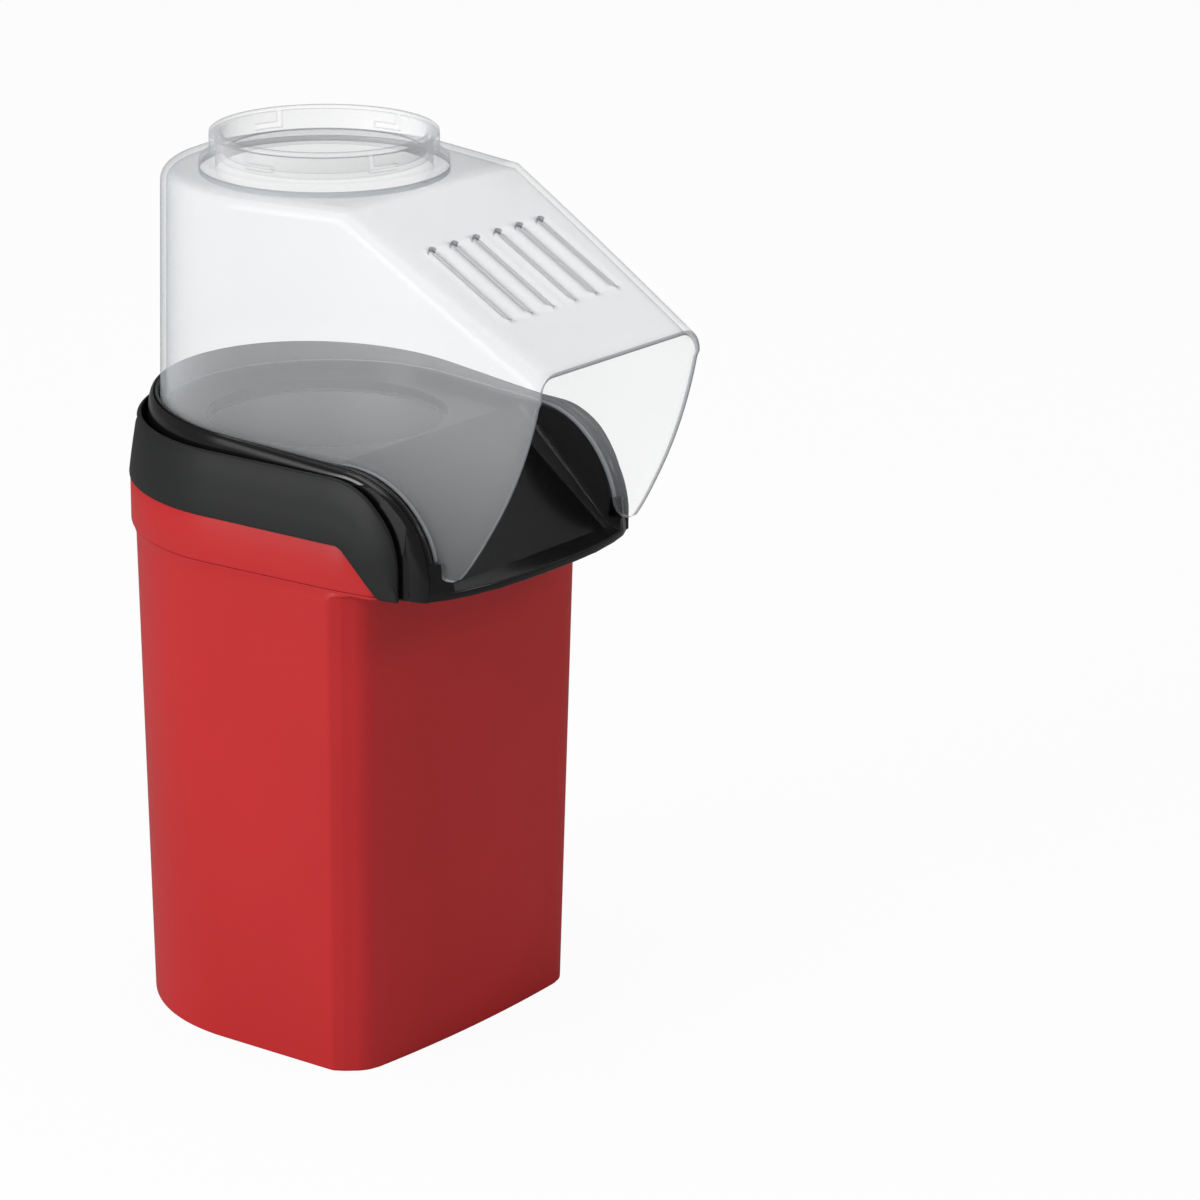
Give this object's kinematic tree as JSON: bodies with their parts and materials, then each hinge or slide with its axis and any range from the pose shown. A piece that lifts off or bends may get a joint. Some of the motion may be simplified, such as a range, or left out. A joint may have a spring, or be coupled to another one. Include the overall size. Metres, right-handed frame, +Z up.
{
  "type": "popcorn maker",
  "caption": "Hot-air popcorn maker with a drafted red body, a black collar and chute, a clear hood that lifts off and a measuring cap in its neck.",
  "frame": {"origin": "on the plane the feet stand on, on the axis of the popping chamber and fan", "axes": "+Z up, -Y out of the chute, +X to the right of someone facing the chute"},
  "size_m": [0.132, 0.1913, 0.3],
  "materials": {
    "body_red": "satin moulded",
    "collar_black": "fine matt",
    "tray_black": "polished",
    "clear": "clear polycarbonate",
    "aluminium": "spun",
    "duct_steel": "plated sheet",
    "fan_black": "moulded",
    "mica": "mica board",
    "coil_wire": "oxidised resistance wire",
    "gasket": "heat-resistant fibre",
    "feet_rubber": "moulded",
    "screw_steel": "zinc plated",
    "motor_steel": "plated",
    "magnet": "sintered ferrite",
    "winding": "enamelled copper",
    "end_cap_black": "moulded",
    "board": "fibreglass board",
    "diode_black": "moulded",
    "thermostat_can": "pressed",
    "fuse_ceramic": "ceramic",
    "switch_black": "moulded",
    "rocker_black": "polished",
    "gland_rubber": "moulded",
    "lead_sleeve": "silicone sleeve"
  },
  "bodies": {
    "base": {"housing": "body_red", "base_plate": "body_red", "rubber_feet": "feet_rubber", "base_screws": "screw_steel", "collar": "collar_black", "chute_tray": "tray_black", "tray_screws": "screw_steel", "popping_chamber": "aluminium", "chamber_gasket": "gasket", "air_duct": "duct_steel", "duct_screws": "screw_steel", "fan_housing": "fan_black", "fan_housing_screws": "screw_steel", "heater_sleeve": "duct_steel", "mica_boards": "mica", "heater_coils": "coil_wire", "thermostat": "thermostat_can", "thermal_fuse": "fuse_ceramic", "motor_can": "motor_steel", "motor_magnets": "magnet", "motor_end_cap": "end_cap_black", "motor_screws": "screw_steel", "rectifier_board": "board", "diodes": "diode_black", "switch_body": "switch_black", "cord_gland": "gland_rubber", "internal_leads": "lead_sleeve"},
    "cover": {"hood": "clear"},
    "cap": {"measuring_cap": "clear"},
    "rotor": {"motor_shaft": "motor_steel", "armature": "winding", "fan_impeller": "fan_black"},
    "rocker": {"switch_rocker": "rocker_black"}
  },
  "joints": [
    {"name": "hood_lift", "type": "slide", "parent": "base", "child": "cover", "axis": [0, 0, 1], "range_m": [0, 0.045]},
    {"name": "cap_lift", "type": "slide", "parent": "cover", "child": "cap", "axis": [0, 0, 1], "range_m": [0, 0.02]},
    {"name": "fan_spin", "type": "hinge", "parent": "base", "child": "rotor", "pos_m": [0, 0, 0.06], "axis": [0, 0, 1], "continuous": true},
    {"name": "switch_rock", "type": "hinge", "parent": "base", "child": "rocker", "pos_m": [0, 0.0594, 0.042], "axis": [1, 0, 0], "range_deg": [-16, 0]}
  ]
}
